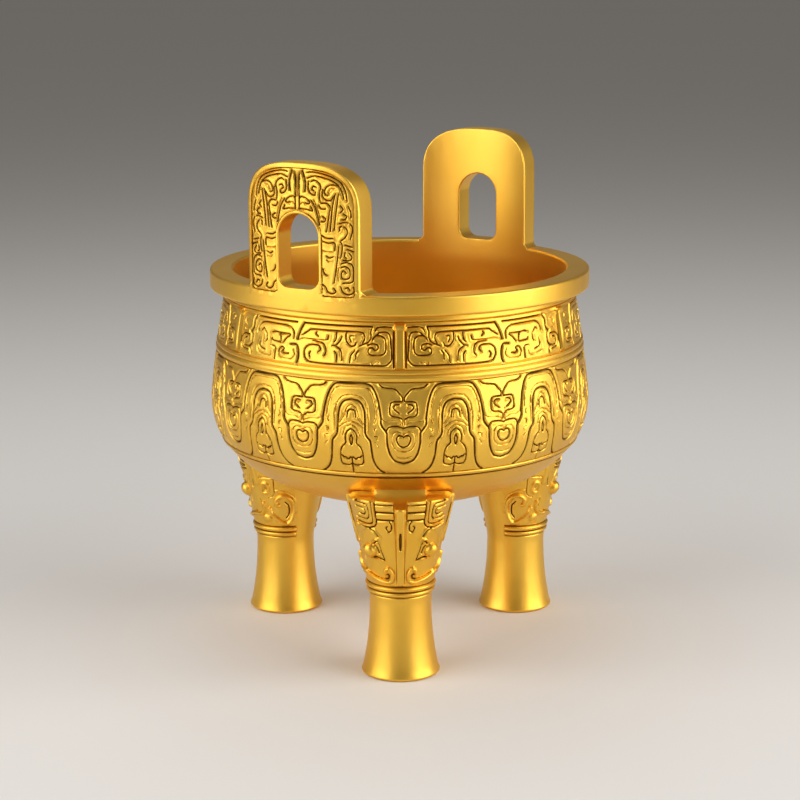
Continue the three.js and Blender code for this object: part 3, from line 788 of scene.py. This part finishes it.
def handle_strokes():
    """Grooves of half a handle's panel."""
    lines = [
        (BROAD, [(1.6, 140.1), (2.1, 138.6), (2.5, 136.8), (2.3, 134.6)]),
        (GROOVE, [(0.6, 139.8), (0.6, 136.5), (0.6, 133.2), (0.6, 129.9)]),
        (GROOVE, [(3.1, 139.6), (5, 139.8), (8.5, 139.2), (12, 137.7), (13.6, 135.3), (14.1, 132.4)]),
        (GROOVE, [(3, 138.1), (5.4, 138.8), (9.3, 138), (11.6, 136.8), (12.7, 135.1), (13.3, 133)]),
        (GROOVE, [(3.5, 137.4), (3.3, 135.7), (3.9, 134.3), (5.2, 133.7), (5.4, 134.6)]),
        (GROOVE, [(4.2, 137.3), (5.1, 137.7), (6.4, 137.1), (7, 136), (6.6, 134.6), (6.6, 133),
                  (6.8, 132)]),
        (GROOVE, [(5.6, 135.9), (4.9, 136.1), (4.4, 135.4), (5, 134.9)]),
        (GROOVE, [(9, 133.8), (8.2, 134.1), (8, 135), (8.8, 136.2), (10.4, 136.7), (12, 136.2)]),
        (GROOVE, [(7.5, 135.3), (7.5, 133.6), (8.3, 132.7), (9.7, 132.6), (10.4, 133.7)]),
        (THIN, [(9.7, 134), (9.2, 134.7), (9.8, 135.6), (11, 135.7)]),
        (GROOVE, [(11, 134.4), (10.3, 131.7), (9.9, 128.6), (9.5, 124.4)]),
        (GROOVE, [(11.8, 134.4), (11.4, 131.3), (10.9, 127.8), (10.6, 124.7)]),
        (GROOVE, [(7, 131.7), (8.5, 131.8), (9.5, 130.9), (9.3, 129.3), (8.9, 126.7), (8.5, 124.3)]),
        (GROOVE, [(6.4, 131.3), (7, 130.3), (8.3, 130.3)]),
        (GROOVE, [(7.3, 128.3), (8.2, 127.7), (7.9, 126.9), (7, 127)]),
        (GROOVE, [(0.8, 132.9), (1.4, 133.2), (2.7, 132.8), (3.7, 132), (3.4, 131.4), (2.4, 131.6)]),
        (THIN, [(0.9, 131.2), (1.7, 131.7), (2.4, 131.2)]),
        (GROOVE, [(0.5, 130), (2.8, 129.9), (4.5, 129.6), (4, 130.8)]),
        (GROOVE, [(4.1, 132.4), (5.3, 130.6), (6, 128.2), (6.6, 126)]),
        (THIN, [(5, 132.6), (6.1, 130), (6.8, 127.6)]),
        (GROOVE, [(12.3, 131.3), (13, 130.4), (12.3, 129.5)]),
        (GROOVE, [(13, 129.2), (13.9, 128.6), (13.5, 127.7), (12.6, 127.7)]),
        (GROOVE, [(14.3, 131.3), (15, 129.7), (15.1, 128.2)]),
        (GROOVE, [(12.1, 124.7), (12, 125.5), (12.6, 125.9), (13.7, 125.5), (14.1, 124.3), (13.5, 123),
                  (12.3, 122)]),
        (GROOVE, [(11.9, 126.6), (13.8, 127), (15.2, 126.2), (15.4, 124.7), (14.9, 122.7)]),
        (GROOVE, [(7.2, 123.2), (8.5, 122.6), (10.2, 122.6)]),
        (GROOVE, [(7.4, 121.7), (9, 121.3), (10.7, 121.4), (10.7, 119.4)]),
        (GROOVE, [(12.3, 121.7), (12.7, 120.9), (12.6, 119), (12.3, 117.6)]),
        (GROOVE, [(13.5, 121), (15.4, 120.5)]),
        (GROOVE, [(13.9, 119.9), (15.8, 119.3)]),
        (GROOVE, [(11.8, 120.6), (11.4, 117.2), (11, 114.3), (10.4, 110.8)]),
        (THIN, [(11.9, 115), (11.5, 113.2), (11.7, 111.4)]),
        (GROOVE, [(13.5, 119.1), (13.3, 118), (13.9, 117.4)]),
        (GROOVE, [(14.5, 118.9), (15.2, 117.8), (14.6, 116.9), (12.8, 117)]),
        (GROOVE, [(12.5, 116), (13.9, 116.4), (15.4, 115.6), (15.6, 112.7), (15.2, 111.2),
                  (12.8, 110.9)]),
        (GROOVE, [(12.4, 115), (13.5, 115.3), (14.6, 114.5), (14.7, 112.9), (14, 112), (12.7, 112.1),
                  (12.4, 113.3), (13, 114.2), (13.8, 113.5)]),
        (GROOVE, [(7.3, 110.2), (8.1, 109.6), (8.6, 108.5), (9.8, 107.9), (10.9, 108.5),
                  (10.3, 109.4)]),
        (GROOVE, [(12.2, 109.9), (12.7, 108.6), (13.9, 107.9), (15, 108), (15.8, 108.9), (15.5, 110)]),
        (GROOVE, [(13.4, 109.5), (14.2, 109.7), (14.6, 109)]),
        (GROOVE, [(7.4, 114.4), (7.7, 113.3), (8.6, 112.6)]),
        (GROOVE, [(8.4, 117.9), (9.3, 117.4), (10.3, 117.8)]),
        (THIN, [(8.5, 117), (9.1, 116.4), (9.9, 116.5)]),
        (THIN, [(7.2, 119.4), (8.5, 119), (10.2, 119.1)]),
    ]
    return [(width, curve(points)) for width, points in lines]


def handle_head(lift):
    """The handle's rounded head, for lifts from 0 at the shoulder to 90 at the top."""
    power = 2 / HANDLE_FULLNESS
    across = HANDLE_WIDTH / 2 * np.cos(np.radians(lift)) ** power
    height = HANDLE_TOP - HANDLE_RISE + HANDLE_RISE * np.sin(np.radians(lift)) ** power
    return np.column_stack([across, height])


def handle_loops():
    """The handle's outer edge and its window, as loops of as many points from the foot's middle."""
    shoulder = HANDLE_TOP - HANDLE_RISE
    spring = WINDOW_TOP - WINDOW_HALF
    climb = np.linspace(0, 1, HANDLE_POST_ROWS, endpoint=False)
    outer_height = HANDLE_ROOT + (shoulder - HANDLE_ROOT) * climb
    below_fillet_top = np.clip(1 - (outer_height - RIM_TOP) / HANDLE_FILLET, 0, 1)
    flare = HANDLE_FILLET * below_fillet_top**2
    outer_post = np.column_stack([HANDLE_WIDTH / 2 + flare, outer_height])
    inner_height = WINDOW_SILL + (spring - WINDOW_SILL) * climb
    above_corner = np.clip((inner_height - WINDOW_SILL) / WINDOW_CORNER, 0, 1)
    corner = WINDOW_CORNER * (1 - np.sqrt(1 - (1 - above_corner) ** 2))
    inner_post = np.column_stack([WINDOW_HALF - corner, inner_height])
    lift = np.linspace(0, 90, HANDLE_HEAD_ROWS)
    outer_head = handle_head(lift)
    turn = np.radians(lift)
    inner_head = np.column_stack([WINDOW_HALF * np.cos(turn), spring + WINDOW_HALF * np.sin(turn)])
    foot = np.linspace(0, 1, HANDLE_FOOT_ROWS, endpoint=False)
    outer_foot = np.column_stack([foot * outer_post[0, 0], 0 * foot + HANDLE_ROOT])
    inner_foot = np.column_stack([foot * inner_post[0, 0], 0 * foot + WINDOW_SILL])
    loops = []
    for parts in ((outer_foot, outer_post, outer_head), (inner_foot, inner_post, inner_head)):
        half = np.vstack(parts)
        mirrored = half[1:-1][::-1] * [-1, 1]
        loops.append(np.vstack([half, mirrored]))
    return loops


def within_corner(first, second):
    """Distance inside two edges that meet in a round corner, from the distances inside each."""
    return PANEL_CORNER - np.hypot(
        np.maximum(PANEL_CORNER - first, 0),
        np.maximum(PANEL_CORNER - second, 0),
    )


def handle_relief(across, height, to_edge):
    """Relief of the outer face, from places on it and their distances to the handle's edge."""
    across = np.abs(across)
    depth, lip = engrave(handle_strokes(), across, height, 1.0)
    spring = WINDOW_TOP - WINDOW_HALF
    to_window = np.hypot(across, np.maximum(height - spring, 0)) - WINDOW_HALF
    to_side = np.minimum(to_edge, HANDLE_WIDTH / 2 - across)
    inside = within_corner(to_side - HANDLE_BORDER, height - PANEL_FOOT)
    inside = within_corner(inside, to_window - WINDOW_BORDER)
    panel = ramp(inside, -PANEL_EDGE, PANEL_EDGE)
    edge = 4 * panel * (1 - panel)
    depth = np.maximum(depth * panel, PANEL_GROOVE * edge)
    return lip * panel - PANEL_DEPTH * panel - GROOVE_DEPTH * depth, depth


def handle(side):
    """A handle, as rings that go from its window over the outer face and back over the inner one."""
    outer, inner = handle_loops()
    span = np.linalg.norm(outer - inner, axis=1)[:, None]
    turn = np.radians(np.linspace(0, 90, HANDLE_ROUND_COLUMNS))
    inset = HANDLE_ROUND * (1 - np.cos(turn))[None, :] / span
    setback = HANDLE_ROUND * (1 - np.sin(turn))
    round_share = HANDLE_ROUND / span
    steps = np.linspace(0, 1, HANDLE_FACE_COLUMNS)[1:-1]
    face = round_share + (1 - 2 * round_share) * steps
    back_face = face[:, ::-HANDLE_BACK_SKIP]
    share = np.hstack([inset, face, 1 - inset[:, ::-1], 1 - inset, back_face, inset[:, ::-1]])
    front_radius = HANDLE_OUTER - np.concatenate([setback, 0 * steps, setback[::-1]])
    back_radius = HANDLE_INNER + np.concatenate([setback, 0 * back_face[0], setback[::-1]])
    radius = np.tile(np.concatenate([front_radius, back_radius]), (len(outer), 1))
    place = inner[:, None, :] + share[:, :, None] * (outer - inner)[:, None, :]
    across, height = place[..., 0], place[..., 1]
    front = slice(0, len(front_radius))
    to_edge = ((1 - share) * span)[:, front]
    relief, depth = handle_relief(across[:, front], height[:, front], to_edge)
    tuck = HANDLE_TUCK * np.clip((POCKET_FOOT - height) / HANDLE_TUCK, 0, 1)
    beside = np.abs(across) - HANDLE_WIDTH / 2
    front_tuck = tuck + RIM_ROUND * ramp(beside, FILLET_TUCK_START, FILLET_TUCK_END)
    radius[:, front] += relief - front_tuck[:, front]
    back = slice(len(front_radius), None)
    radius[:, back] += tuck[:, back]
    recess = np.zeros(radius.shape)
    recess[:, front] = depth
    vertices = np.stack([np.sqrt(radius**2 - across**2), across, height], axis=-1)
    rows, columns = radius.shape
    vertices = vertices[::-1].reshape(-1, 3)
    obj = grid_mesh("handle", vertices, rows, columns, np.ravel(recess[::-1]), None)
    if side < 0:
        obj.data.transform(Matrix.Rotation(math.pi, 4, "Z"))
    return obj


# Material

def brass():
    """Satin brass with a fine grain, and a dark colour where the surface lies deep in a groove: partly
    the brass's dark patina there, partly painted shade.
    """
    material = bpy.data.materials.new("brass")
    material.use_nodes = True
    nodes = material.node_tree.nodes
    links = material.node_tree.links
    shader = nodes["Principled BSDF"]
    shader.inputs["Metallic"].default_value = 1.0
    place = nodes.new("ShaderNodeTexCoord")

    def noise(scale, detail):
        node = nodes.new("ShaderNodeTexNoise")
        node.inputs["Scale"].default_value = scale
        node.inputs["Detail"].default_value = detail
        links.new(place.outputs["Object"], node.inputs["Vector"])
        return node.outputs["Fac"]

    gold = nodes.new("ShaderNodeValToRGB")
    stops = zip(gold.color_ramp.elements, GOLD_CLOUD, (GOLD_DEEP, GOLD_LIGHT))
    for element, position, colour in stops:
        element.position = position
        element.color = colour
    links.new(noise(CLOUD_SCALE, CLOUD_DETAIL), gold.inputs["Fac"])
    recess = nodes.new("ShaderNodeAttribute")
    recess.attribute_name = "recess"
    # The groove depth mixes in the dark colour: partly the brass's dark patina in its grooves, partly
    # painted shade there.
    patina_and_shade = nodes.new("ShaderNodeMapRange")
    patina_and_shade.inputs["From Min"].default_value, patina_and_shade.inputs["From Max"].default_value = PATINA_AND_SHADE_RECESS
    patina_and_shade.inputs["To Max"].default_value = PATINA_AND_SHADE_STRENGTH
    links.new(recess.outputs["Fac"], patina_and_shade.inputs["Value"])
    patina_and_shade_mix = nodes.new("ShaderNodeMix")
    patina_and_shade_mix.data_type = "RGBA"
    patina_and_shade_mix.inputs["B"].default_value = PATINA_AND_SHADE_COLOUR
    links.new(patina_and_shade.outputs["Result"], patina_and_shade_mix.inputs["Factor"])
    links.new(gold.outputs["Color"], patina_and_shade_mix.inputs["A"])
    links.new(patina_and_shade_mix.outputs["Result"], shader.inputs["Base Color"])
    rough = nodes.new("ShaderNodeMapRange")
    rough.inputs["To Min"].default_value = METAL_ROUGHNESS
    rough.inputs["To Max"].default_value = PATINA_AND_SHADE_ROUGHNESS
    links.new(patina_and_shade.outputs["Result"], rough.inputs["Value"])
    links.new(rough.outputs["Result"], shader.inputs["Roughness"])
    bump = nodes.new("ShaderNodeBump")
    bump.inputs["Strength"].default_value = GRAIN_STRENGTH
    bump.inputs["Distance"].default_value = GRAIN_HEIGHT
    links.new(noise(GRAIN_SCALE, GRAIN_DETAIL), bump.inputs["Height"])
    links.new(bump.outputs["Normal"], shader.inputs["Normal"])
    return material


# The whole piece

def reduced(obj, triangles):
    """The body with fewer triangles, fewest where it is plain."""
    obj.data.calc_loop_triangles()
    modifier = obj.modifiers.new("reduce", "DECIMATE")
    modifier.ratio = min(1.0, triangles / len(obj.data.loop_triangles))
    apply_modifiers(obj)
    return obj


def dressed_ding():
    """The whole vessel as one piece, with normals that follow its large faces."""
    ding = reduced(outer_bowl(), BOWL_TRIANGLES)
    for angle in LEG_ANGLES:
        combine(ding, reduced(leg(angle), LEG_TRIANGLES), "UNION")
    combine(ding, cavity(), "DIFFERENCE")
    for side in (1, -1):
        combine(ding, reduced(handle(side), HANDLE_TRIANGLES), "UNION")
    ding.data.shade_smooth()
    ding.data.set_sharp_from_angle(angle=math.radians(SHARP_ANGLE))
    weights = ding.modifiers.new("weights", "WEIGHTED_NORMAL")
    weights.keep_sharp = True
    apply_modifiers(ding)
    ding.data.materials.clear()
    ding.data.materials.append(brass())
    return ding


ding = dressed_ding()
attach(ding, "root")
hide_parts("ding")


# Floor, light and camera

def floor():
    """The plain pale floor."""
    bpy.ops.mesh.primitive_plane_add(size=FLOOR_SIZE)
    plane = bpy.context.object
    plane.name = "floor"
    material = bpy.data.materials.new("floor")
    material.use_nodes = True
    shader = material.node_tree.nodes["Principled BSDF"]
    shader.inputs["Base Color"].default_value = FLOOR_COLOUR
    shader.inputs["Roughness"].default_value = FLOOR_ROUGHNESS
    plane.data.materials.append(material)


def seen_from_camera(right, towards, height):
    """A place in metres, from its distances to the camera's right and towards the camera."""
    angle = math.radians(CAMERA_AZIMUTH)
    return (
        towards * math.cos(angle) - right * math.sin(angle),
        towards * math.sin(angle) + right * math.cos(angle),
        height,
    )


def lamp(name, place, size, power):
    """A rectangular lamp that looks at the middle of the vessel."""
    data = bpy.data.lights.new(name, "AREA")
    data.shape = "RECTANGLE"
    data.size, data.size_y = size
    data.energy = power
    obj = bpy.data.objects.new(name, data)
    obj.location = seen_from_camera(*place)
    aim = Vector(LAMP_AIM) - obj.location
    obj.rotation_euler = aim.to_track_quat("-Z", "Y").to_euler()
    bpy.context.scene.collection.objects.link(obj)


def camera():
    """The camera at the photo's viewing angle."""
    data = bpy.data.cameras.new("camera")
    data.lens = CAMERA_LENS
    data.sensor_width = CAMERA_SENSOR
    data.clip_start = CAMERA_NEAR
    obj = bpy.data.objects.new("camera", data)
    place = Matrix.Translation(seen_from_camera(0, CAMERA_DISTANCE, CAMERA_HEIGHT))
    turn = Matrix.Rotation(math.radians(CAMERA_AZIMUTH + 90), 4, "Z")
    tilt = Matrix.Rotation(math.radians(90 - CAMERA_PITCH), 4, "X")
    roll = Matrix.Rotation(math.radians(CAMERA_ROLL), 4, "Z")
    obj.matrix_world = place @ turn @ tilt @ roll
    bpy.context.scene.collection.objects.link(obj)
    bpy.context.scene.camera = obj


def sky():
    """Even light from all round."""
    world = bpy.data.worlds.new("studio")
    world.use_nodes = True
    background = world.node_tree.nodes["Background"]
    background.inputs["Color"].default_value = SKY_COLOUR
    background.inputs["Strength"].default_value = SKY_STRENGTH
    bpy.context.scene.world = world


floor()
for lamp_name, (place, size, power) in LAMPS.items():
    lamp(lamp_name, place, size, power)
camera()
sky()
bpy.context.scene.view_settings.view_transform = "Standard"
